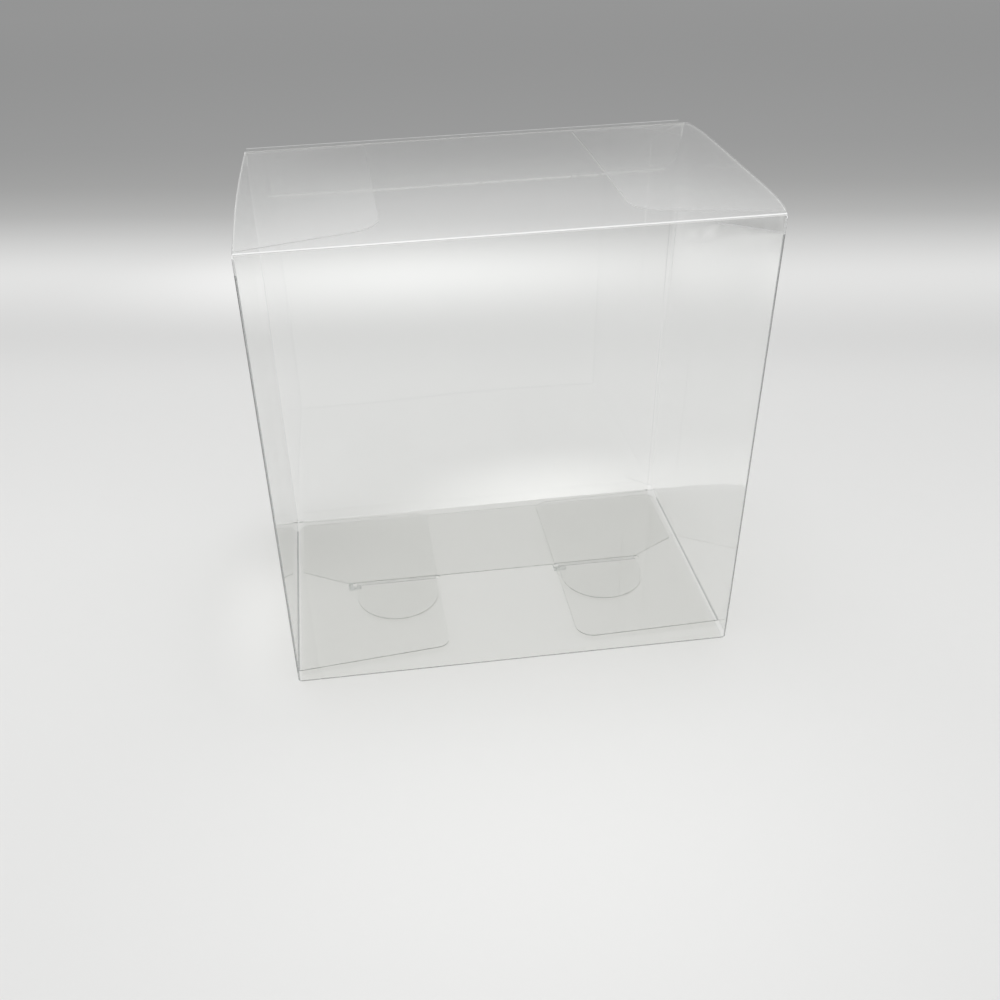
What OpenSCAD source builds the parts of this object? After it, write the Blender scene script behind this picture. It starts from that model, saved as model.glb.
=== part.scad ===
// Clear folding box that shields a boxed game: one creased sheet of film with a locking bottom and a tuck lid.
// Millimetres, +Z up, front wall towards -Y, origin at the middle of the base.

/* [Box] */
// Outer width, from left wall to right wall
body_w = 192; // [170:1:260]
// Outer depth, from front wall to back wall
body_d = 129; // [118:1:180]
// Outer height, up to the face of the closed lid
body_h = 191; // [80:1:280]
// Thickness of the film
film = 0.4; // [0.3:0.05:0.6]
// Inner radius of every crease
bend_r = 0.5; // [0.3:0.1:1]

/* [Rear bottom flap and its tongues] */
// Length of the rear flap, from the back wall to its straight edge
rear_flap_l = 60.7; // [50:0.1:66]
// Gap between each side of the rear flap and the side wall
rear_flap_side = 3.2; // [2:0.1:8]
// Width of the slanted corner at each end of the straight edge
rear_chamfer_w = 21.5; // [12:0.5:24]
// Length of the slanted corner, along the flap
rear_chamfer_l = 12.8; // [6:0.2:20]
// Width of each half-moon tongue
tongue_w = 38.6; // [28:0.2:42]
// Length of each tongue past the straight edge
tongue_l = 32.8; // [26:0.2:35]
// Distance between the centres of the two tongues
tongue_spacing = 99.4; // [86:0.2:102]
// Sideways shift of both tongues to the right
tongue_shift = 1.8; // [-2:0.1:2]

/* [Front bottom flap and its slits] */
// Gap between the free edge of the front flap and the back wall
front_flap_end_gap = 7; // [3:0.5:12]
// Gap between each side of the front flap and the side wall
front_flap_side = 1.5; // [1.2:0.1:5]
// Radius of the two free corners of the front flap
front_flap_r = 5; // [2:0.5:10]
// Distance from the front wall at which the flap lies level
front_step_l = 4.3; // [3.5:0.1:10]
// Opening of the slit that each tongue passes through
slit_w = 3; // [2.4:0.1:4]
// Spare length of the slit at each end of its tongue
slit_end_gap = 0.8; // [0.4:0.1:2]

/* [Left bottom flap] */
// Length of the left flap, from the left wall
left_flap_l = 68.2; // [50:0.2:72]
// Inset of its front edge at the crease
left_flap_root = 5; // [4:0.5:16]
// Inset of its front edge at the tip
left_flap_tip = 12.2; // [8:0.1:20]
// Radius of its front corner
left_flap_r = 5; // [3:0.5:12]

/* [Right bottom flap] */
// Length of the right flap, from the right wall
right_flap_l = 65.4; // [50:0.2:72]
// Inset of its front edge at the crease
right_flap_root = 10.4; // [4:0.1:16]
// Inset of its front edge at the tip
right_flap_tip = 8.4; // [8:0.1:20]
// Radius of its front corner
right_flap_r = 8; // [3:0.5:12]

/* [Both side flaps of the bottom] */
// Inset of their rear edge at the crease
side_flap_rear_root = 5; // [3:0.5:12]
// Inset of their rear edge at the tip
side_flap_rear_tip = 7; // [3:0.5:16]
// Radius of their rear corner
side_flap_rear_r = 6; // [3:0.5:12]

/* [Top dust flaps] */
// Length of each dust flap, from its side wall
dust_flap_l = 51; // [30:1:60]
// Inset of the front edge at the crease
dust_front_root = 4; // [2:0.5:12]
// Inset of the front edge at the tip
dust_front_tip = 17; // [8:0.5:24]
// Radius of the front corner
dust_front_r = 12; // [4:0.5:16]
// Radius of the rear corner
dust_rear_r = 2; // [1:0.5:10]
// Gap between the rear edge and the tuck flap
dust_tuck_gap = 1.5; // [1:0.1:4]

/* [Lid] */
// Gap between the lid's rear crease and the back wall
lid_back_gap = 3.6; // [2:0.1:6]
// Inset of the lid's sides from the faces of the side walls
lid_side = 0.5; // [0.3:0.1:2]
// Depth of the tuck flap below the top
tuck_l = 20.8; // [12:0.2:26]
// Inset of the tuck flap's sides at the crease
tuck_root = 1.5; // [1:0.5:5]
// Inset of the tuck flap's sides at its lower edge
tuck_tip = 4; // [3:0.5:12]
// Radius of the tuck flap's lower corners
tuck_r = 8; // [4:0.5:12]
// Room between the tuck flap's lower edge and the glue tab as the lid swings
tuck_clear = 0.4; // [0.3:0.05:0.8]

/* [Glued seam] */
// Width of the glue tab inside the back wall
tab_w = 13; // [8:0.5:20]
// Height that the tab loses at each end through its slanted corners
tab_slant = 6; // [3:0.5:12]
// Inset of the back wall's glued edge from the right wall
seam_edge = 2; // [1.6:0.1:4]

/* [Fit] */
// Air between the layers of the bottom
layer_gap = 0.3; // [0.1:0.05:0.4]
// Air between the lid and the dust flaps under it
lid_gap = 0.3; // [0.2:0.05:0.6]
// Air between the lid's crease and the top of the front wall
crease_gap = 0.15; // [0.1:0.05:0.3]

/* [Hidden] */
$fn = 48;
arc_steps = 10;
overlap = 1;
film_colour = [0.86, 0.89, 0.88, 0.45];
lid_colour = [0.80, 0.86, 0.85, 0.45];

// Faces of the walls and the outer radius of a crease
left_x = -body_w / 2;
right_x = body_w / 2;
front_y = -body_d / 2;
back_y = body_d / 2;
bend_out = bend_r + film;

// Heights of the bottom's layers, from the table up: rear flap, front flap, tongues, side flaps
front_flap_z = film + layer_gap;
tongue_z = front_flap_z + film + layer_gap;
side_flap_z = tongue_z + film + layer_gap;

// Flat run of the side walls, between their bottom and top creases
side_top_z = body_h - film - lid_gap;
side_wall_low = side_flap_z + bend_out;
side_wall_top = side_top_z - bend_out;

// Edges of the bottom flaps along Y
rear_edge_y = back_y - rear_flap_l;
climb_l = slit_w * 1.4;
slit_y = rear_edge_y - climb_l / 2;
front_flap_end_y = back_y - front_flap_end_gap;

// Hinge line of the lid: the middle of the film, along the top of the front wall
axis_y = front_y + film / 2;
axis_z = body_h - film / 2;
lid_under_z = body_h - film;
front_top_z = lid_under_z - crease_gap;

// Rear crease of the lid, and the tuck flap's lower edge on the widest arc that clears the glue tab
lid_rear_y = back_y - film - lid_back_gap;
tuck_tip_z = body_h - tuck_l;
swing_r = back_y - 2 * film - tuck_clear - axis_y;
tuck_tip_y = axis_y + sqrt(pow(swing_r, 2) - pow(axis_z - tuck_tip_z, 2));
dust_rear_y = lid_rear_y - film - dust_tuck_gap;

function unit(v) = v / norm(v);
function turned(v, a) = [v.x * cos(a) - v.y * sin(a), v.x * sin(a) + v.y * cos(a)];

// Points of one corner p of an outline, between its neighbours a and b, rounded to radius r
function corner(a, p, b, r) =
    r == 0 ? [p] :
    let (
        u = unit(a - p),
        v = unit(b - p),
        half = acos(u * v) / 2,
        centre = p + unit(u + v) * r / sin(half),
        first = p + u * r / tan(half) - centre,
        last = p + v * r / tan(half) - centre,
        sweep = (180 - 2 * half) * sign(cross(first, last))
    )
    [for (i = [0 : arc_steps]) centre + turned(first, sweep * i / arc_steps)];

// Outline through the given points, corner i rounded to radii[i]
function rounded(points, radii) =
    let (n = len(points))
    [for (i = [0 : n - 1]) each corner(points[(i + n - 1) % n], points[i], points[(i + 1) % n], radii[i])];

// Section of a crease: a quarter ring of film in the first quadrant
module quarter_ring() {
    intersection() {
        difference() {
            circle(r = bend_out);
            circle(r = bend_r);
        }
        square(bend_out);
    }
}

// Runs a side-on section, drawn as Y and Z, across the width from x0 to x1
module across(x0, x1) {
    translate([x0, 0, 0])
        rotate([90, 0, 90])
            linear_extrude(x1 - x0)
                children();
}

// Runs a front-on section, drawn as X and Z, along the whole depth
module along() {
    translate([0, back_y + overlap, 0])
        rotate([90, 0, 0])
            linear_extrude(body_d + 2 * overlap)
                children();
}

// Outline seen from above, drawn as X and Y, as a cutter from z0 to z1
module cutter(z0, z1) {
    translate([0, 0, z0])
        linear_extrude(z1 - z0)
            children();
}

// Side-on section of the front wall, its bottom crease and the front flap, which climbs over the rear flap
module front_section() {
    translate([front_y, bend_out]) square([film, front_top_z - bend_out]);
    translate([front_y + bend_out, bend_out]) rotate(180) quarter_ring();
    polygon([
        [front_y + bend_out, 0],
        [front_y + front_step_l, front_flap_z],
        [front_flap_end_y, front_flap_z],
        [front_flap_end_y, front_flap_z + film],
        [front_y + front_step_l, front_flap_z + film],
        [front_y + bend_out, film]
    ]);
}

// Front flap from above, with its crease at full width and a slit for each tongue
module front_outline() {
    half = body_w / 2 - front_flap_side;
    difference() {
        union() {
            translate([left_x + bend_out, front_y - overlap])
                square([body_w - 2 * bend_out, bend_out + overlap]);
            polygon(rounded(
                [[-half, front_y], [-half, front_flap_end_y], [half, front_flap_end_y], [half, front_y]],
                [0, front_flap_r, front_flap_r, 0]
            ));
        }
        at_tongues() slit();
    }
}

module slit() {
    run = tongue_w / 2 + slit_end_gap;
    translate([-run, slit_y - slit_w / 2]) square([2 * run, slit_w]);
    for (side = [-1, 1])
        translate([side * run, slit_y]) circle(d = slit_w);
}

// Places its child at the centre line of each tongue
module at_tongues() {
    for (side = [-1, 1])
        translate([tongue_shift + side * tongue_spacing / 2, 0]) children();
}

module front_panel() {
    intersection() {
        across(left_x + bend_out, right_x - bend_out) front_section();
        cutter(-overlap, body_h) front_outline();
    }
}

// Side-on section of the back wall, its bottom crease and the rear flap, which lies on the table
module rear_section() {
    translate([back_y - film, bend_out]) square([film, body_h - bend_out]);
    translate([back_y - bend_out, bend_out]) rotate(-90) quarter_ring();
    translate([rear_edge_y, 0]) square([rear_flap_l - bend_out, film]);
}

// Rear flap from above, with its slanted corners and its crease at full width
module rear_outline() {
    half = body_w / 2 - rear_flap_side;
    straight = half - rear_chamfer_w;
    translate([left_x + bend_out, back_y - bend_out])
        square([body_w - bend_out - seam_edge, bend_out + overlap]);
    polygon([
        [-half, back_y],
        [-half, rear_edge_y + rear_chamfer_l],
        [-straight, rear_edge_y],
        [straight, rear_edge_y],
        [half, rear_edge_y + rear_chamfer_l],
        [half, back_y]
    ]);
}

// Side-on section of a tongue: up through its slit, then level on the front flap
module tongue_section() {
    tip_y = rear_edge_y - tongue_l;
    polygon([
        [rear_edge_y + film, 0],
        [rear_edge_y + film, film],
        [rear_edge_y, film],
        [rear_edge_y - climb_l, tongue_z + film],
        [tip_y, tongue_z + film],
        [tip_y, tongue_z],
        [rear_edge_y - climb_l, tongue_z],
        [rear_edge_y, 0]
    ]);
}

// Half-moon outline of a tongue
module tongue_outline() {
    r = tongue_w / 2;
    straight = tongue_l - r;
    translate([0, rear_edge_y - straight]) {
        circle(r = r);
        translate([-r, 0]) square([tongue_w, straight + film]);
    }
}

module rear_panel() {
    intersection() {
        across(left_x + bend_out, right_x - seam_edge) rear_section();
        cutter(-overlap, body_h + overlap) rear_outline();
    }
    intersection() {
        across(left_x, right_x) tongue_section();
        cutter(-overlap, side_flap_z) at_tongues() tongue_outline();
    }
}

// Front-on section of a bottom side flap and its crease, drawn for the left wall
module side_flap_section(length) {
    translate([left_x + bend_out, side_flap_z + bend_out]) rotate(180) quarter_ring();
    translate([left_x + bend_out, side_flap_z]) square([length - bend_out, film]);
}

// Bottom side flap from above, drawn for the left wall
module side_flap_outline(length, root, tip, r) {
    polygon(rounded(
        [
            [left_x - overlap, front_y + root],
            [left_x + length, front_y + tip],
            [left_x + length, back_y - side_flap_rear_tip],
            [left_x - overlap, back_y - side_flap_rear_root]
        ],
        [0, r, side_flap_rear_r, 0]
    ));
}

module bottom_side_flap(length, root, tip, r) {
    intersection() {
        along() side_flap_section(length);
        cutter(0, side_flap_z + bend_out) side_flap_outline(length, root, tip, r);
    }
}

// Front-on section of a top dust flap and its crease, drawn for the left wall
module dust_flap_section() {
    translate([left_x + bend_out, side_top_z - bend_out]) rotate(90) quarter_ring();
    translate([left_x + bend_out, side_top_z - film]) square([dust_flap_l - bend_out, film]);
}

// Top dust flap from above, drawn for the left wall
module dust_flap_outline() {
    polygon(rounded(
        [
            [left_x - overlap, front_y + dust_front_root],
            [left_x + dust_flap_l, front_y + dust_front_tip],
            [left_x + dust_flap_l, dust_rear_y],
            [left_x - overlap, dust_rear_y]
        ],
        [0, dust_front_r, dust_rear_r, 0]
    ));
}

module dust_flap() {
    intersection() {
        along() dust_flap_section();
        cutter(side_top_z - bend_out, side_top_z) dust_flap_outline();
    }
}

// Side wall between its two creases, drawn for the left side, up to the vertical crease at rear_y
module side_wall(rear_y) {
    translate([left_x, front_y + bend_out, side_wall_low])
        cube([film, rear_y - bend_out - front_y - bend_out, side_wall_top - side_wall_low]);
}

// Upright crease between two walls from height low, its centre at [x, y], turned to its corner
module upright_crease(x, y, turn, low = bend_out) {
    translate([x, y, low])
        linear_extrude(side_wall_top - low)
            rotate(turn) quarter_ring();
}

// Tab that carries on from the right wall and is glued flat inside the back wall
module glue_tab() {
    x = right_x - bend_out;
    translate([0, back_y - film, 0])
        rotate([90, 0, 0])
            linear_extrude(film)
                polygon([
                    [x, side_wall_low],
                    [x, side_wall_top],
                    [x - tab_w, side_wall_top - tab_slant],
                    [x - tab_w, side_wall_low + tab_slant]
                ]);
}

// The whole folded and glued sheet, apart from the lid
module film_sleeve() {
    color(film_colour) {
        front_panel();
        rear_panel();
        side_wall(back_y);
        mirror([1, 0, 0]) side_wall(back_y - film);
        bottom_side_flap(left_flap_l, left_flap_root, left_flap_tip, left_flap_r);
        mirror([1, 0, 0])
            bottom_side_flap(right_flap_l, right_flap_root, right_flap_tip, right_flap_r);
        dust_flap();
        mirror([1, 0, 0]) dust_flap();
        upright_crease(left_x + bend_out, front_y + bend_out, 180);
        upright_crease(right_x - bend_out, front_y + bend_out, -90);
        upright_crease(left_x + bend_out, back_y - bend_out, 90);
        upright_crease(right_x - bend_out, back_y - film - bend_out, 0, side_wall_low);
        glue_tab();
    }
}

// Side-on section of the lid's panel, with its rounded hinge edge
module lid_panel_section() {
    translate([axis_y, axis_z]) circle(d = film);
    translate([axis_y, lid_under_z]) square([lid_rear_y - bend_out - axis_y, film]);
}

// Side-on section of the lid's rear crease and the tuck flap below it
module tuck_section() {
    translate([lid_rear_y - bend_out, body_h - bend_out]) quarter_ring();
    polygon([
        [lid_rear_y - film, body_h - bend_out],
        [lid_rear_y, body_h - bend_out],
        [tuck_tip_y, tuck_tip_z],
        [tuck_tip_y - film, tuck_tip_z]
    ]);
}

// Tuck flap seen from the front: tapered, with round lower corners
module tuck_outline() {
    root = body_w / 2 - tuck_root;
    tip = body_w / 2 - tuck_tip;
    polygon(rounded(
        [[-root, body_h + overlap], [root, body_h + overlap], [tip, tuck_tip_z], [-tip, tuck_tip_z]],
        [0, 0, tuck_r, tuck_r]
    ));
}

module lid() {
    color(lid_colour) {
        across(left_x + lid_side, right_x - lid_side) lid_panel_section();
        intersection() {
            across(left_x, right_x) tuck_section();
            along() tuck_outline();
        }
    }
}

film_sleeve();
lid();
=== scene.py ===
import math

import bmesh
import bpy
from bpy.props import FloatProperty, FloatVectorProperty, PointerProperty
from mathutils import Euler, Matrix, Vector
from mathutils.bvhtree import BVHTree


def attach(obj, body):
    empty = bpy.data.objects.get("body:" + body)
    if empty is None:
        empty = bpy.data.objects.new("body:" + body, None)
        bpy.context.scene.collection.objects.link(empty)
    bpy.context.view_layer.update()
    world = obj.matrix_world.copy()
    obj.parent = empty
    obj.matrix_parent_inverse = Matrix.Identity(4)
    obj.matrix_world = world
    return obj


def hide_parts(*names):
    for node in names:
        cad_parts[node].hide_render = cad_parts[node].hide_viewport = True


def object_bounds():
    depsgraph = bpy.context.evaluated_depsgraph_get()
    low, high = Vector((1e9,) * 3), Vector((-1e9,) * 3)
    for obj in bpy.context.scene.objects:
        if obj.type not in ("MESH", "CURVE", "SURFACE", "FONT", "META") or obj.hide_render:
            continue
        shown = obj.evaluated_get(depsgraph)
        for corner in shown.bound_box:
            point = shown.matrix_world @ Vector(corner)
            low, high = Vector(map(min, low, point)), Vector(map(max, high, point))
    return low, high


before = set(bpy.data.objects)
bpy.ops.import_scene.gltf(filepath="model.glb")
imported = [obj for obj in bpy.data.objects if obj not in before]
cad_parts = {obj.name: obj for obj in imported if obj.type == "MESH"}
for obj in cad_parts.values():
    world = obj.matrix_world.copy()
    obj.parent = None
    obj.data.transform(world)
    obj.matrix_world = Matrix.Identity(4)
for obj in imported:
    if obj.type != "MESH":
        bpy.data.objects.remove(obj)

bl_info = {
    "name": "Clear Folding Box",
    "version": (1, 0, 0),
    "blender": (4, 5, 0),
    "location": "3D View > Sidebar > Clear Box",
    "description": "Dresses a folded clear film box and lights it on a pale table",
    "category": "Object",
}

# The box as it was designed: its lowest and highest corners, and its size
CAD_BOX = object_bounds()
LOW, HIGH = Vector(CAD_BOX[0]), Vector(CAD_BOX[1])
SIZE = HIGH - LOW

MM = 0.001
WELD = 0.001 * MM
# A face of a rounded bend is narrower and steeper to its neighbour than these
BEND_FACET, BEND_ANGLE = 0.2 * MM, math.radians(3.0)

# The finishes in the order of each piece's material slots
FINISHES = ("glossy_film", "creased_film", "tight_fold", "whitened_highlight_film", "cut_edge", "glued_edge")
GLOSSY, CREASED, TIGHT, WHITENED_HIGHLIGHT, CUT, GLUED = range(6)


# Settings that a user would change

class FilmSettings(bpy.types.PropertyGroup):
    """The clear sheet that the box is folded from"""
    thickness: FloatProperty(
        name="Film Thickness", description="Thickness of the clear film",
        default=0.4 * MM, unit="LENGTH")
    bend: FloatProperty(
        name="Bend Radius", description="Outer radius of each crease",
        default=0.9 * MM, unit="LENGTH")
    # Beside the lid's hinge line this margin also sets the width of the whitened strip, which is in
    # part a painted highlight.
    crease_margin: FloatProperty(
        name="Crease Margin", description="Width of the whitened strip beside each bend",
        default=0.25 * MM, unit="LENGTH")
    # Depth of the top band, lit from above, whose creases and cut edges take the lighter finishes;
    # below it the folds and cut edges take the tints that paint shade.
    lit_top_band: FloatProperty(
        name="Worn Creases", description="How far below the lid the creases are worn by use",
        default=5.0 * MM, unit="LENGTH")
    # The whitened rim paints the highlight along the tuck flap's lower edge.
    highlight_rim: FloatProperty(
        name="Worn Rim", description="Width of the whitened rim of the tuck flap's lower edge",
        default=0.7 * MM, unit="LENGTH")
    cell: FloatProperty(
        name="Cell", description="Spacing of the cuts that let a flat panel bend",
        default=6.0 * MM, unit="LENGTH")
    tint: FloatVectorProperty(
        name="Film Tint", description="Colour that one layer of the film lets through",
        default=(0.984, 0.986, 0.983), size=3, min=0.0, max=1.0, subtype="COLOR")
    lamp_tint: FloatVectorProperty(
        name="Lamp Tint", description="Colour that the lamps keep at each face of the film",
        default=(0.958, 0.958, 0.952), size=3, min=0.0, max=1.0, subtype="COLOR")
    crease_tint: FloatVectorProperty(
        name="Crease Tint", description="Colour of the film where it was folded",
        default=(0.93, 0.94, 0.935), size=3, min=0.0, max=1.0, subtype="COLOR")
    # The dark tint is painted shade: it stands in for the light that a tight fold refracts away.
    fold_shade_tint: FloatVectorProperty(
        name="Tight Fold Tint", description="Colour of a tight fold that bends the light away",
        default=(0.62, 0.635, 0.635), size=3, min=0.0, max=1.0, subtype="COLOR")
    # The whitened film is in part stress-whitening and in part a painted highlight on the top edges
    # and the hinge line.
    white_highlight_tint: FloatVectorProperty(
        name="Whitened Tint", description="Colour of the film that stress has whitened",
        default=(0.97, 0.975, 0.97), size=3, min=0.0, max=1.0, subtype="COLOR")
    # The grey tint is in part a painted shade for the dark lines of the cut edges.
    cut_shade_tint: FloatVectorProperty(
        name="Cut Edge Tint", description="Colour of the film's die-cut edges",
        default=(0.54, 0.56, 0.55), size=3, min=0.0, max=1.0, subtype="COLOR")


class ShapeSettings(bpy.types.PropertyGroup):
    """How far the soft panels stand away from a true box"""
    right_bow: FloatProperty(
        name="Right Bow", description="How far the top of the right wall bows outward",
        default=3.6 * MM, unit="LENGTH")
    left_bow: FloatProperty(
        name="Left Bow", description="How far the top of the left wall bows outward",
        default=1.2 * MM, unit="LENGTH")
    lid_crown: FloatProperty(
        name="Lid Crown", description="How far the dust flaps push the lid up",
        default=1.0 * MM, unit="LENGTH")
    front_bow: FloatProperty(
        name="Front Bow", description="How far the front wall bows outward",
        default=0.8 * MM, unit="LENGTH")
    back_bow: FloatProperty(
        name="Back Bow", description="How far the back wall bows inward",
        default=0.8 * MM, unit="LENGTH")
    buckle: FloatProperty(
        name="Corner Buckle", description="Depth of the soft dent below the front right corner",
        default=0.7 * MM, unit="LENGTH")
    # A painted highlight: a strip of the creased finish along the dent, for the light line that the
    # dent's bend draws.
    highlight_line_start: FloatVectorProperty(
        name="Stress Line Start", description="Where the stress line beside the dent starts",
        default=(69.2 * MM, -64.5 * MM, 190.0 * MM), size=3, subtype="TRANSLATION")
    highlight_line_end: FloatVectorProperty(
        name="Stress Line End", description="Where the stress line beside the dent ends",
        default=(92.4 * MM, -64.5 * MM, 185.0 * MM), size=3, subtype="TRANSLATION")
    highlight_line_width: FloatProperty(
        name="Stress Line Width", description="Width of the stress line beside the dent",
        default=0.5 * MM, unit="LENGTH")
    wave: FloatProperty(
        name="Wave", description="Height of the slow waves over all walls",
        default=0.12 * MM, unit="LENGTH")


class StudioSettings(bpy.types.PropertyGroup):
    """The table, the light and the camera"""
    table_near: FloatVectorProperty(
        name="Table Near", description="Colour of the table round the box",
        default=(0.760, 0.761, 0.755), size=3, min=0.0, max=1.0, subtype="COLOR")
    # The far colour is painted shade: the table greys towards the back as the lamps' light falls off.
    table_far_painted_shade: FloatVectorProperty(
        name="Table Far", description="Colour of the table far behind the box",
        default=(0.325, 0.326, 0.326), size=3, min=0.0, max=1.0, subtype="COLOR")
    sky: FloatProperty(
        name="Room Light", description="Brightness of the white room above the table",
        default=0.86, min=0.0)
    softbox: FloatProperty(
        name="Softbox Power", description="Power of the softbox over the box",
        default=3.2, min=0.0, subtype="POWER")
    camera_place: FloatVectorProperty(
        name="Camera Place", description="Where the camera stands",
        default=(-0.0600, -0.4278, 0.3188), size=3, subtype="TRANSLATION")
    camera_drop: FloatProperty(
        name="Camera Drop", description="Angle at which the camera looks down",
        default=math.radians(36.86), subtype="ANGLE")
    camera_turn: FloatProperty(
        name="Camera Turn", description="Angle by which the camera looks to the right",
        default=math.radians(5.53), subtype="ANGLE")
    camera_roll: FloatProperty(
        name="Camera Roll", description="Angle by which the picture leans",
        default=math.radians(-2.31), subtype="ANGLE")
    lens: FloatProperty(
        name="Lens", description="Focal length on a 36 mm sensor",
        default=39.25, min=1.0, subtype="DISTANCE_CAMERA")


# Small helpers

def share_between(value, start, end):
    """How far value lies from start to end, held between 0 and 1, with soft ends."""
    share = min(max((value - start) / (end - start), 0.0), 1.0)
    return share * share * (3.0 - 2.0 * share)


def hump(value, low, high):
    """0 at low and high and 1 midway between them."""
    share = min(max((value - low) / (high - low), 0.0), 1.0)
    return math.sin(math.pi * share)


def plateau(value, low, high):
    """0 at low and high and nearly 1 over most of the way between them."""
    share = min(max((value - low) / (high - low), 0.0), 1.0)
    return 1.0 - abs(2.0 * share - 1.0) ** 6


def add_node(tree, kind, column, row, **values):
    """A new node in a grid of columns and rows, with its own values set."""
    node = tree.nodes.new(kind)
    node.location = (column * 220, -row * 200)
    for name, value in values.items():
        setattr(node, name, value)
    return node


def maths(tree, operation, first, second, column, row):
    """A Math node fed by sockets or numbers, and its result."""
    node = add_node(tree, "ShaderNodeMath", column, row, operation=operation)
    for slot, value in enumerate((first, second)):
        if isinstance(value, bpy.types.NodeSocket):
            tree.links.new(value, node.inputs[slot])
        elif value is not None:
            node.inputs[slot].default_value = value
    return node.outputs[0]


def new_group(name, inputs, outputs):
    """A shader node group with its named sockets, and its two end nodes."""
    tree = bpy.data.node_groups.new(name, "ShaderNodeTree")
    for label, kind, value in inputs:
        socket = tree.interface.new_socket(name=label, in_out="INPUT", socket_type=kind)
        socket.default_value = value
    for label, kind in outputs:
        tree.interface.new_socket(name=label, in_out="OUTPUT", socket_type=kind)
    start = add_node(tree, "NodeGroupInput", -6, 0)
    end = add_node(tree, "NodeGroupOutput", 4, 0)
    return tree, start.outputs, end.inputs


def use_group(tree, name, column, row, **values):
    """The named group placed in a tree, with this finish's own values."""
    node = add_node(tree, "ShaderNodeGroup", column, row, node_tree=bpy.data.node_groups[name])
    for label, value in values.items():
        node.inputs[label.replace("_", " ")].default_value = value
    return node.outputs


def colour_ramp(tree, value, stops, column, row):
    """A colour that runs smoothly through stops of (value, colour)."""
    low, high = stops[0][0], stops[-1][0]
    span = add_node(tree, "ShaderNodeMapRange", column, row)
    span.inputs["From Min"].default_value = low
    span.inputs["From Max"].default_value = high
    tree.links.new(value, span.inputs["Value"])
    ramp = add_node(tree, "ShaderNodeValToRGB", column + 1, row)
    ramp.color_ramp.interpolation = "B_SPLINE"
    elements = ramp.color_ramp.elements
    for place, colour in stops[1:-1]:
        elements.new((place - low) / (high - low)).color = (*colour, 1.0)
    elements[0].color = (*stops[0][1], 1.0)
    elements[-1].color = (*stops[-1][1], 1.0)
    tree.links.new(span.outputs["Result"], ramp.inputs["Fac"])
    return ramp.outputs["Color"]


def soft_patch(tree, place, middle, reach, row):
    """A mask that is 1 at the middle of a patch and fades to 0 at its reach."""
    off = add_node(tree, "ShaderNodeVectorMath", -7, row, operation="SUBTRACT")
    tree.links.new(place, off.inputs[0])
    off.inputs[1].default_value = middle
    share = add_node(tree, "ShaderNodeVectorMath", -6, row, operation="DIVIDE")
    tree.links.new(off.outputs["Vector"], share.inputs[0])
    share.inputs[1].default_value = reach
    length = add_node(tree, "ShaderNodeVectorMath", -5, row, operation="LENGTH")
    tree.links.new(share.outputs["Vector"], length.inputs[0])
    fade = add_node(tree, "ShaderNodeMapRange", -4, row, interpolation_type="SMOOTHSTEP")
    fade.inputs["To Min"].default_value = 1.0
    fade.inputs["To Max"].default_value = 0.0
    tree.links.new(length.outputs["Value"], fade.inputs["Value"])
    return fade.outputs["Result"]


# Effects that the film's finishes share

def make_ripple_group():
    """Slow waves that a rolled and die-cut film keeps, as a height in metres."""
    tree, given, out = new_group(
        "Film Ripple",
        (("Wave Size", "NodeSocketFloat", 0.05), ("Wave Height", "NodeSocketFloat", 0.00002)),
        (("Height", "NodeSocketFloat"),))
    place = add_node(tree, "ShaderNodeTexCoord", -5, 1)
    scale = maths(tree, "DIVIDE", 1.0, given["Wave Size"], -4, 0)
    noise = add_node(tree, "ShaderNodeTexNoise", -3, 0)
    noise.inputs["Detail"].default_value = 1.0
    noise.inputs["Roughness"].default_value = 0.3
    tree.links.new(place.outputs["Object"], noise.inputs["Vector"])
    tree.links.new(scale, noise.inputs["Scale"])
    level = maths(tree, "SUBTRACT", noise.outputs["Fac"], 0.5, -1, 0)
    height = maths(tree, "MULTIPLY", level, given["Wave Height"], 1, 0)
    tree.links.new(height, out["Height"])


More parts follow.
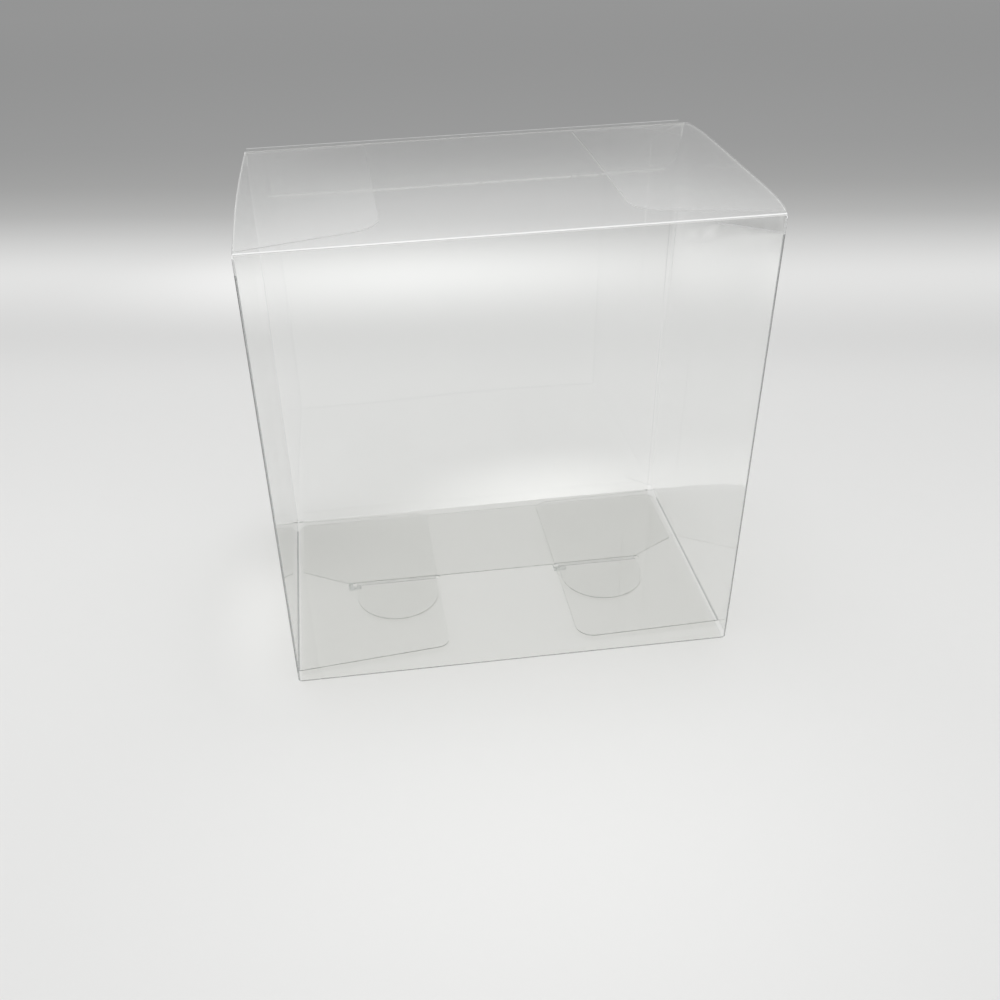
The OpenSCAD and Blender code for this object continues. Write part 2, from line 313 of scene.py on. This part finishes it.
def make_marks_group():
    """Fine rubs and scratches from handling, as a mask that is 1 on a mark."""
    tree, given, out = new_group(
        "Handling Marks",
        (("Spacing", "NodeSocketFloat", 0.012), ("Amount", "NodeSocketFloat", 0.3)),
        (("Mask", "NodeSocketFloat"),))
    place = add_node(tree, "ShaderNodeTexCoord", -5, 1)
    scale = maths(tree, "DIVIDE", 1.0, given["Spacing"], -5, 0)
    masks = []
    for row, turn in enumerate(((0.4, 0.9, 0.2), (1.3, -0.5, 2.1))):
        lean = add_node(tree, "ShaderNodeMapping", -4, row + 1)
        lean.inputs["Rotation"].default_value = turn
        lean.inputs["Scale"].default_value = (1.0, 1.0, 0.06)
        noise = add_node(tree, "ShaderNodeTexNoise", -3, row + 1)
        noise.inputs["Detail"].default_value = 2.0
        tree.links.new(place.outputs["Object"], lean.inputs["Vector"])
        tree.links.new(lean.outputs["Vector"], noise.inputs["Vector"])
        tree.links.new(scale, noise.inputs["Scale"])
        off = maths(tree, "SUBTRACT", noise.outputs["Fac"], 0.5, -2, row + 1)
        off = maths(tree, "ABSOLUTE", off, None, -1, row + 1)
        line = add_node(tree, "ShaderNodeMapRange", 0, row + 1, interpolation_type="SMOOTHSTEP")
        line.inputs["From Min"].default_value = 0.0
        line.inputs["From Max"].default_value = 0.012
        line.inputs["To Min"].default_value = 1.0
        line.inputs["To Max"].default_value = 0.0
        tree.links.new(off, line.inputs["Value"])
        masks.append(line.outputs["Result"])
    patchy = add_node(tree, "ShaderNodeTexNoise", -3, 4)
    patchy.inputs["Scale"].default_value = 30.0
    patchy.inputs["Detail"].default_value = 0.0
    tree.links.new(place.outputs["Object"], patchy.inputs["Vector"])
    where = add_node(tree, "ShaderNodeMapRange", -1, 4)
    where.inputs["From Min"].default_value = 0.52
    where.inputs["From Max"].default_value = 0.70
    tree.links.new(patchy.outputs["Fac"], where.inputs["Value"])
    both = maths(tree, "MAXIMUM", masks[0], masks[1], 1, 1)
    some = maths(tree, "MULTIPLY", both, where.outputs["Result"], 2, 1)
    tree.links.new(maths(tree, "MULTIPLY", some, given["Amount"], 3, 1), out["Mask"])


def make_crack_group():
    """The frosting of a stressed fold or a cut, as a colour and a roughness."""
    tree, given, out = new_group(
        "Stress Frosting",
        (("Tint", "NodeSocketColor", (1.0, 1.0, 1.0, 1.0)), ("Grain", "NodeSocketFloat", 0.002),
         ("Smoothest", "NodeSocketFloat", 0.2), ("Roughest", "NodeSocketFloat", 0.4),
         ("Fade", "NodeSocketFloat", 0.1)),
        (("Color", "NodeSocketColor"), ("Roughness", "NodeSocketFloat")))
    place = add_node(tree, "ShaderNodeTexCoord", -5, 1)
    scale = maths(tree, "DIVIDE", 1.0, given["Grain"], -4, 0)
    noise = add_node(tree, "ShaderNodeTexNoise", -3, 0)
    noise.inputs["Detail"].default_value = 2.0
    tree.links.new(place.outputs["Object"], noise.inputs["Vector"])
    tree.links.new(scale, noise.inputs["Scale"])
    grain = noise.outputs["Fac"]
    rough = add_node(tree, "ShaderNodeMapRange", -1, 0)
    tree.links.new(grain, rough.inputs["Value"])
    tree.links.new(given["Smoothest"], rough.inputs["To Min"])
    tree.links.new(given["Roughest"], rough.inputs["To Max"])
    keep = maths(tree, "MULTIPLY", grain, given["Fade"], -1, 2)
    keep = maths(tree, "SUBTRACT", 1.0, keep, 0, 2)
    shade = add_node(tree, "ShaderNodeVectorMath", 2, 1, operation="SCALE")
    tree.links.new(given["Tint"], shade.inputs[0])
    tree.links.new(keep, shade.inputs["Scale"])
    tree.links.new(shade.outputs["Vector"], out["Color"])
    tree.links.new(rough.outputs["Result"], out["Roughness"])


# The finishes

def film_shader(name, lamp_tint, transmission, ior):
    """A material with a Principled shader that lamps shine through, and that shader."""
    finish = bpy.data.materials.new(name)
    finish.use_nodes = True
    tree = finish.node_tree
    tree.nodes.clear()
    film = add_node(tree, "ShaderNodeBsdfPrincipled", 2, 0)
    film.inputs["IOR"].default_value = ior
    film.inputs["Metallic"].default_value = 0.0
    film.inputs["Transmission Weight"].default_value = transmission
    clear = add_node(tree, "ShaderNodeBsdfTransparent", 2, 4)
    clear.inputs["Color"].default_value = (*lamp_tint, 1.0)
    path = add_node(tree, "ShaderNodeLightPath", 1, -2)
    lamp = maths(tree, "MAXIMUM", path.outputs["Is Shadow Ray"], path.outputs["Is Diffuse Ray"], 2, -1)
    mix = add_node(tree, "ShaderNodeMixShader", 4, 0)
    tree.links.new(lamp, mix.inputs["Fac"])
    tree.links.new(film.outputs["BSDF"], mix.inputs[1])
    tree.links.new(clear.outputs["BSDF"], mix.inputs[2])
    end = add_node(tree, "ShaderNodeOutputMaterial", 5, 0)
    tree.links.new(mix.outputs["Shader"], end.inputs["Surface"])
    return finish, film


def add_bump(tree, film, height):
    """The film's normal from a height in metres."""
    bump = add_node(tree, "ShaderNodeBump", 1, 3)
    bump.inputs["Distance"].default_value = 1.0
    tree.links.new(height, bump.inputs["Height"])
    tree.links.new(bump.outputs["Normal"], film.inputs["Normal"])


def make_glossy_film(film_settings):
    """Glossy clear polyester film, with a faint ripple and a few rubs."""
    finish, film = film_shader("glossy_film", film_settings.lamp_tint, 1.0, 1.575)
    tree = finish.node_tree
    ripple = use_group(tree, "Film Ripple", -2, 3, Wave_Size=0.045, Wave_Height=0.000006)
    marks = use_group(tree, "Handling Marks", -2, 1, Spacing=0.014, Amount=0.5)
    frost = use_group(tree, "Stress Frosting", -2, 0, Tint=(*film_settings.tint, 1.0),
                      Grain=0.04, Smoothest=0.012, Roughest=0.03, Fade=0.012)
    rubbed = maths(tree, "MULTIPLY", marks["Mask"], 0.12, 0, 1)
    tree.links.new(maths(tree, "ADD", frost["Roughness"], rubbed, 1, 1), film.inputs["Roughness"])
    tree.links.new(frost["Color"], film.inputs["Base Color"])
    add_bump(tree, film, ripple["Height"])
    return finish


def make_creased_film(film_settings):
    """The same film where it was folded: slightly frosted, and duller."""
    finish, film = film_shader("creased_film", film_settings.lamp_tint, 0.5, 1.575)
    tree = finish.node_tree
    frost = use_group(tree, "Stress Frosting", -2, 0, Tint=(*film_settings.crease_tint, 1.0),
                      Grain=0.006, Smoothest=0.10, Roughest=0.30, Fade=0.10)
    tree.links.new(frost["Color"], film.inputs["Base Color"])
    tree.links.new(frost["Roughness"], film.inputs["Roughness"])
    ripple = use_group(tree, "Film Ripple", -2, 3, Wave_Size=0.004, Wave_Height=0.00001)
    add_bump(tree, film, ripple["Height"])
    return finish


def make_tight_fold(film_settings):
    """A fold that stays shut: clear, with a painted shade in its tint for the light the bend turns
    away.
    """
    finish, film = film_shader("tight_fold", film_settings.lamp_tint, 1.0, 1.575)
    tree = finish.node_tree
    frost = use_group(tree, "Stress Frosting", -2, 0, Tint=(*film_settings.fold_shade_tint, 1.0),
                      Grain=0.02, Smoothest=0.14, Roughest=0.26, Fade=0.10)
    tree.links.new(frost["Color"], film.inputs["Base Color"])
    tree.links.new(frost["Roughness"], film.inputs["Roughness"])
    return finish


def make_whitened_film(film_settings):
    """The lid's hinge line and the top edges, whitened by stress in part and in part a painted
    highlight.
    """
    finish, film = film_shader("whitened_highlight_film", film_settings.lamp_tint, 0.15, 1.575)
    tree = finish.node_tree
    frost = use_group(tree, "Stress Frosting", -2, 0, Tint=(*film_settings.white_highlight_tint, 1.0),
                      Grain=0.05, Smoothest=0.25, Roughest=0.45, Fade=0.12)
    tree.links.new(frost["Color"], film.inputs["Base Color"])
    tree.links.new(frost["Roughness"], film.inputs["Roughness"])
    return finish


def make_cut_edge(film_settings):
    """The narrow, frosted face that the cutting die leaves, with a grey tint that paints shade on it.
    """
    finish, film = film_shader("cut_edge", film_settings.lamp_tint, 0.3, 1.575)
    tree = finish.node_tree
    frost = use_group(tree, "Stress Frosting", -2, 0, Tint=(*film_settings.cut_shade_tint, 1.0),
                      Grain=0.003, Smoothest=0.18, Roughest=0.40, Fade=0.10)
    tree.links.new(frost["Color"], film.inputs["Base Color"])
    tree.links.new(frost["Roughness"], film.inputs["Roughness"])
    return finish


def make_glued_edge(film_settings):
    """The edges of the seam, which clear glue has filled."""
    finish, film = film_shader("glued_edge", film_settings.lamp_tint, 1.0, 1.03)
    film.inputs["Base Color"].default_value = (*film_settings.tint, 1.0)
    film.inputs["Roughness"].default_value = 0.0
    return finish


# The folded pieces

def crease_cuts(film):
    """Where a plane cuts the panels just before each bend, as (axis, places)."""
    strip = film.bend + film.crease_margin
    top = film.thickness + 0.3 * MM
    return (
        (0, (LOW.x + strip, HIGH.x - strip)),
        (1, (LOW.y + strip, HIGH.y - strip)),
        (2, (LOW.z + strip, HIGH.z - top - strip)),
    )


def cut_into_cells(bm, film, rim):
    """Cuts the flat panels by planes, so that they can bend and shade smoothly."""
    places = {0: [], 1: [], 2: [rim]}
    for axis, extra in crease_cuts(film):
        places[axis] += extra
        inner = film.bend + film.crease_margin
        length = SIZE[axis] - 2 * inner
        steps = round(length / film.cell)
        places[axis] += [LOW[axis] + inner + length * i / steps for i in range(1, steps)]
    for axis, cuts in places.items():
        normal = Vector([float(i == axis) for i in range(3)])
        for place in cuts:
            everything = bm.verts[:] + bm.edges[:] + bm.faces[:]
            bmesh.ops.bisect_plane(bm, geom=everything, dist=WELD, plane_co=normal * place,
                                   plane_no=normal)


def paint_highlight_by_buckle(bm, shape):
    """Paints a highlight as a short strip of the creased finish beside the dent in the front wall."""
    start, end = Vector(shape.highlight_line_start), Vector(shape.highlight_line_end)
    run = end - start
    across = Vector((-run.z, 0.0, run.x)).normalized()
    half = across * shape.highlight_line_width / 2
    for place in (start - half, start + half):
        panel = [f for f in bm.faces if f.normal.y < -0.9 and start.x < f.calc_center_median().x]
        near = {v for f in panel for v in f.verts} | {e for f in panel for e in f.edges}
        bmesh.ops.bisect_plane(bm, geom=panel + list(near), dist=WELD, plane_co=place,
                               plane_no=across)
    for face in bm.faces:
        centre = face.calc_center_median()
        beside = abs((centre - start).dot(across)) < shape.highlight_line_width / 2
        if face.normal.y < -0.9 and beside and start.x < centre.x < end.x:
            face.material_index = CREASED


def mark_finishes(bm, film, rim):
    """Gives each face its slot.

    A cut edge has no film face right behind it, and glue fills the edges of the seam.
    The creases and cut edges in the lit top band take the lighter finishes, and the whitened
    ones there paint a highlight in part, most of all the lid's hinge line at the front and what
    lies below the rim, which is the tuck flap's lower edge. The creases of the front, the sides
    and the bottom are tight, with a tint that paints shade.
    """
    bm.normal_update()
    bm.faces.ensure_lookup_table()
    tree = BVHTree.FromBMesh(bm)
    for face in bm.faces:
        inside = face.calc_center_median() - face.normal * (0.01 * MM)
        distance = tree.ray_cast(inside, -face.normal, film.thickness * 2.0)[3]
        if distance is None or distance < film.thickness * 0.5:
            centre = face.calc_center_median()
            glued = centre.y > HIGH.y - film.thickness * 2.5 and abs(face.normal.x) > 0.5
            # Cut edges in the lit top band take the whitened finish, in part a painted highlight; the
            # others take the cut edge's tint, in part a painted shade.
            in_lit_top_band = centre.z > HIGH.z - film.lit_top_band
            face.material_index = GLUED if glued else WHITENED_HIGHLIGHT if in_lit_top_band else CUT
    for face in bm.faces:
        width = face.calc_area() / max(edge.calc_length() for edge in face.edges)
        bent = max(edge.calc_face_angle(0.0) for edge in face.edges)
        centre = face.calc_center_median()
        # Bends in the lit top band take the frosted creased finish; tight folds lower down take the
        # tint that paints shade.
        if face.material_index == GLOSSY and width < BEND_FACET and bent > BEND_ANGLE:
            if centre.z > HIGH.z - film.lit_top_band:
                face.material_index = CREASED
            elif centre.y < HIGH.y - SIZE.y * 0.1:
                face.material_index = TIGHT
        # The whitened strip on the hinge line and below the rim is in part a painted highlight.
        hinge = centre.z > HIGH.z - film.thickness * 1.1
        at_front = centre.y < LOW.y + film.bend + film.crease_margin
        if hinge and at_front or centre.z < rim:
            face.material_index = WHITENED_HIGHLIGHT


def settle(place, shape):
    """Where a point of the true box lies on the softly bowed one."""
    x, y, z = place
    rise = z / HIGH.z
    inward = 55 * MM
    moved = Vector(place)

    right = share_between(x, HIGH.x - inward, HIGH.x)
    moved.x += shape.right_bow * plateau(y, LOW.y, HIGH.y) * rise ** 2 * right
    left = share_between(-x, HIGH.x - inward, HIGH.x)
    moved.x -= shape.left_bow * hump(y, LOW.y, HIGH.y) * rise ** 2 * left

    across = hump(x, LOW.x, HIGH.x)
    upright = hump(z, LOW.z, HIGH.z)
    front = share_between(-y, 20 * MM, HIGH.y)
    moved.y -= shape.front_bow * across * upright * front
    back = share_between(y, 20 * MM, HIGH.y)
    moved.y -= shape.back_bow * across * upright * back

    dent = hump(x, 62 * MM, 96 * MM) * hump(z, 178 * MM, 190.4 * MM)
    moved.y += shape.buckle * dent * front

    near_top = share_between(z, 140 * MM, 190 * MM)
    moved.z += shape.lid_crown * across * hump(y, LOW.y, HIGH.y) * near_top

    ripple = math.sin(x / (23 * MM) + 1.3) * math.sin(z / (31 * MM) + y / (40 * MM))
    moved.y += shape.wave * ripple * across * upright * (front + back)
    ripple = math.sin(y / (19 * MM) + 0.7) * math.sin(z / (27 * MM) + 2.0)
    moved.x += shape.wave * ripple * hump(y, LOW.y, HIGH.y) * upright * (right + left)
    return moved


def folded_film(node, name):
    """A folded piece of the box as a bowed film mesh with its three finishes."""
    scene = bpy.context.scene
    film, shape = scene.clear_box_film, scene.clear_box_shape
    bm = bmesh.new()
    bm.from_mesh(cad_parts[node].data)
    bmesh.ops.remove_doubles(bm, verts=bm.verts[:], dist=WELD)
    bmesh.ops.dissolve_limit(bm, angle_limit=math.radians(0.2), verts=bm.verts[:],
                             edges=bm.edges[:])
    for face in bm.faces:
        face.material_index = GLOSSY
    lowest = min(vertex.co.z for vertex in bm.verts)
    rim = lowest + film.highlight_rim if lowest > LOW.z + WELD else LOW.z - film.highlight_rim
    cut_into_cells(bm, film, rim)
    mark_finishes(bm, film, rim)
    # The sleeve gets a painted highlight line beside the dent.
    if node == "film_sleeve":
        paint_highlight_by_buckle(bm, shape)
    for vertex in bm.verts:
        vertex.co = settle(vertex.co, shape)
    for face in bm.faces:
        face.smooth = True
    mesh = bpy.data.meshes.new(name)
    bm.to_mesh(mesh)
    bm.free()
    if mesh.has_custom_normals:
        mesh.attributes.remove(mesh.attributes["custom_normal"])
    mesh.set_sharp_from_angle(angle=math.radians(12.0))
    for finish in FINISHES:
        mesh.materials.append(bpy.data.materials[finish])
    piece = bpy.data.objects.new(name, mesh)
    scene.collection.objects.link(piece)
    return piece


# The studio

def make_table(studio):
    """A wide pale table top as a stage object, greyed towards the back by painted shade."""
    reach = 4.0
    below = -0.15 * MM
    mesh = bpy.data.meshes.new("table_top")
    corners = [(-reach, -reach, below), (reach, -reach, below),
               (reach, reach, below), (-reach, reach, below)]
    mesh.from_pydata(corners, [], [(0, 1, 2, 3)])
    table = bpy.data.objects.new("table_top", mesh)
    bpy.context.scene.collection.objects.link(table)
    finish = bpy.data.materials.new("table_top")
    finish.use_nodes = True
    tree = finish.node_tree
    shader = tree.nodes["Principled BSDF"]
    shader.inputs["Roughness"].default_value = 0.9
    shader.inputs["Specular IOR Level"].default_value = 0.0
    place = add_node(tree, "ShaderNodeTexCoord", -9, 0)
    parts = add_node(tree, "ShaderNodeSeparateXYZ", -8, 0)
    tree.links.new(place.outputs["Object"], parts.inputs["Vector"])
    # Painted light: the table is lighter towards +x.
    slant = maths(tree, "MULTIPLY", parts.outputs["X"], 0.2, -7, 1)
    depth = maths(tree, "ADD", parts.outputs["Y"], slant, -6, 0)
    near, far = Vector(studio.table_near), Vector(studio.table_far_painted_shade)
    # Painted shade and light along the depth: the falloff of the lamps' light that greys the table
    # towards the back, with a darker and a lighter painted band behind the box.
    stops = (
        (-0.30, near * 1.045), (-0.15, near * 1.05), (-0.08, near * 1.045), (0.00, near * 1.04),
        (0.06, near * 1.025), (0.15, near * 0.98), (0.20, near * 0.98), (0.24, near * 0.95),
        (0.28, near * 0.90), (0.32, near * 0.94), (0.36, near * 1.01), (0.40, near * 1.06),
        (0.43, near * 1.01), (0.46, near * 0.93), (0.50, near * 0.80), (0.55, near * 0.64),
        (0.64, near * 0.51), (0.78, far * 1.10), (1.20, far * 1.06), (1.60, far * 1.15))
    shade = colour_ramp(tree, depth, stops, -4, 0)
    # Painted pool of light on the table in front of the box.
    painted_light_pool = soft_patch(tree, place.outputs["Object"], (0.0, -0.17, 0.0), (0.21, 0.16, 1.0), 2)
    # Painted glow: the bright band of light that the back wall throws onto the table behind it.
    painted_glow = soft_patch(tree, place.outputs["Object"], (0.042, HIGH.y, 0.0), (0.105, 0.062, 1.0), 4)
    # Painted light: a soft bright band on the table far behind the box.
    painted_shine = soft_patch(tree, place.outputs["Object"], (0.0, 0.41, 0.0), (0.30, 0.12, 1.0), 6)
    behind = maths(tree, "GREATER_THAN", parts.outputs["Y"], HIGH.y, -3, 4)
    painted_glow = maths(tree, "MULTIPLY", painted_glow, behind, -2, 4)
    painted_light_pool = maths(tree, "MULTIPLY", painted_light_pool, 0.09, -2, 2)
    painted_glow = maths(tree, "MULTIPLY", painted_glow, 0.33, -1, 4)
    painted_shine = maths(tree, "MULTIPLY", painted_shine, 0.24, -2, 6)
    painted_light_lift = maths(tree, "ADD", maths(tree, "ADD", painted_light_pool, painted_glow, -1, 3), painted_shine, 0, 4)
    # Painted shadow of the film on the table at the rear left of the box.
    shadow = soft_patch(tree, place.outputs["Object"], (-0.085, 0.045, 0.0), (0.06, 0.05, 1.0), 8)
    shadow = maths(tree, "MULTIPLY", shadow, -0.08, -2, 8)
    # Painted light on the table by the foot of the left wall.
    painted_spill = soft_patch(tree, place.outputs["Object"], (-0.112, -0.015, 0.0), (0.03, 0.075, 1.0), 10)
    painted_spill = maths(tree, "MULTIPLY", painted_spill, 0.09, -2, 10)
    # All the painted light and shadow patches scale the table's colour together.
    painted_light_lift = maths(tree, "ADD", maths(tree, "ADD", painted_light_lift, shadow, 0, 5), painted_spill, 0, 6)
    painted_light_lift = maths(tree, "ADD", painted_light_lift, 1.0, 0, 3)
    lit = add_node(tree, "ShaderNodeVectorMath", 0, 1, operation="SCALE")
    tree.links.new(shade, lit.inputs[0])
    tree.links.new(painted_light_lift, lit.inputs["Scale"])
    tree.links.new(lit.outputs["Vector"], shader.inputs["Base Color"])
    mesh.materials.append(finish)


def make_room_light(studio):
    """A white room that is grey near the horizon."""
    world = bpy.data.worlds.new("white_room")
    bpy.context.scene.world = world
    world.use_nodes = True
    tree = world.node_tree
    back = tree.nodes["Background"]
    back.inputs["Strength"].default_value = studio.sky
    place = add_node(tree, "ShaderNodeTexCoord", -5, 0)
    parts = add_node(tree, "ShaderNodeSeparateXYZ", -4, 0)
    tree.links.new(place.outputs["Generated"], parts.inputs["Vector"])
    grey = Vector((1.0, 1.0, 1.0))
    stops = ((0.00, grey * 0.40), (0.20, grey * 0.42), (0.26, grey * 0.52), (0.33, grey),
             (0.40, grey), (0.50, grey * 0.79), (0.58, grey * 0.79), (0.70, grey * 1.1),
             (1.00, grey * 1.1))
    tree.links.new(colour_ramp(tree, parts.outputs["Z"], stops, -2, 0), back.inputs["Color"])


def make_softbox(studio):
    """One broad softbox over the box, which draws the bright line on its top crease."""
    lamp = bpy.data.lights.new("softbox", "AREA")
    lamp.shape = "RECTANGLE"
    lamp.size, lamp.size_y = 0.55, 0.35
    lamp.energy = studio.softbox
    holder = bpy.data.objects.new("softbox", lamp)
    holder.location = (-0.05, 0.05, 1.15)
    bpy.context.scene.collection.objects.link(holder)


def make_camera(studio):
    """The camera where the photograph was taken from."""
    camera = bpy.data.cameras.new("camera")
    camera.sensor_width = 36.0
    camera.lens = studio.lens
    camera.shift_x, camera.shift_y = 0.0434, 0.0842
    camera.clip_start = 0.01
    holder = bpy.data.objects.new("camera", camera)
    aim = Euler((math.pi / 2 - studio.camera_drop, 0.0, -studio.camera_turn)).to_matrix()
    lean = Matrix.Rotation(studio.camera_roll, 3, "Z")
    holder.matrix_world = Matrix.Translation(studio.camera_place) @ (aim @ lean).to_4x4()
    bpy.context.scene.collection.objects.link(holder)
    bpy.context.scene.camera = holder


# The operators

class CLEARBOX_OT_finishes(bpy.types.Operator):
    """Make the clear film, the creased film and the cut edge"""
    bl_idname = "clear_box.finishes"
    bl_label = "Make Film Finishes"

    def execute(self, context):
        film = context.scene.clear_box_film
        make_ripple_group()
        make_marks_group()
        make_crack_group()
        make_glossy_film(film)
        make_creased_film(film)
        make_tight_fold(film)
        make_whitened_film(film)
        make_cut_edge(film)
        make_glued_edge(film)
        return {"FINISHED"}


class CLEARBOX_OT_sleeve(bpy.types.Operator):
    """Make the sleeve of the box, with its locking bottom, dust flaps and glued seam"""
    bl_idname = "clear_box.sleeve"
    bl_label = "Make Sleeve"

    def execute(self, context):
        piece = folded_film("film_sleeve", "sleeve_film")
        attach(piece, "sleeve")
        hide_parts("film_sleeve")
        return {"FINISHED"}


class CLEARBOX_OT_lid(bpy.types.Operator):
    """Make the lid of the box, with its tuck flap"""
    bl_idname = "clear_box.lid"
    bl_label = "Make Lid"

    def execute(self, context):
        piece = folded_film("lid", "lid_film")
        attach(piece, "lid")
        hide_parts("lid")
        return {"FINISHED"}


class CLEARBOX_OT_studio(bpy.types.Operator):
    """Make the table, the light and the camera"""
    bl_idname = "clear_box.studio"
    bl_label = "Make Studio"

    def execute(self, context):
        studio = context.scene.clear_box_studio
        make_table(studio)
        make_room_light(studio)
        make_softbox(studio)
        make_camera(studio)
        view = context.scene.view_settings
        view.view_transform = "Standard"
        view.look = "None"
        cycles = context.scene.cycles
        cycles.max_bounces = 22
        cycles.transmission_bounces = 22
        cycles.glossy_bounces = 8
        cycles.transparent_max_bounces = 32
        return {"FINISHED"}


class CLEARBOX_PT_sidebar(bpy.types.Panel):
    """The sidebar panel that lists the settings and the steps"""
    bl_idname = "CLEARBOX_PT_sidebar"
    bl_label = "Clear Box"
    bl_space_type = "VIEW_3D"
    bl_region_type = "UI"
    bl_category = "Clear Box"

    def draw(self, context):
        for settings in SETTINGS:
            group = getattr(context.scene, settings)
            column = self.layout.column()
            for name in type(group).__annotations__:
                column.prop(group, name)
        for step in STEPS:
            self.layout.operator(step.bl_idname)


SETTINGS = {
    "clear_box_film": FilmSettings,
    "clear_box_shape": ShapeSettings,
    "clear_box_studio": StudioSettings,
}
STEPS = (CLEARBOX_OT_finishes, CLEARBOX_OT_sleeve, CLEARBOX_OT_lid, CLEARBOX_OT_studio)


def register():
    for kind in (*SETTINGS.values(), *STEPS, CLEARBOX_PT_sidebar):
        bpy.utils.register_class(kind)
    for name, kind in SETTINGS.items():
        setattr(bpy.types.Scene, name, PointerProperty(type=kind))


def unregister():
    for name in SETTINGS:
        delattr(bpy.types.Scene, name)
    for kind in (CLEARBOX_PT_sidebar, *reversed(STEPS), *reversed(SETTINGS.values())):
        bpy.utils.unregister_class(kind)


def main():
    register()
    bpy.ops.clear_box.finishes()
    bpy.ops.clear_box.sleeve()
    bpy.ops.clear_box.lid()
    bpy.ops.clear_box.studio()


if __name__ == "__main__":
    main()
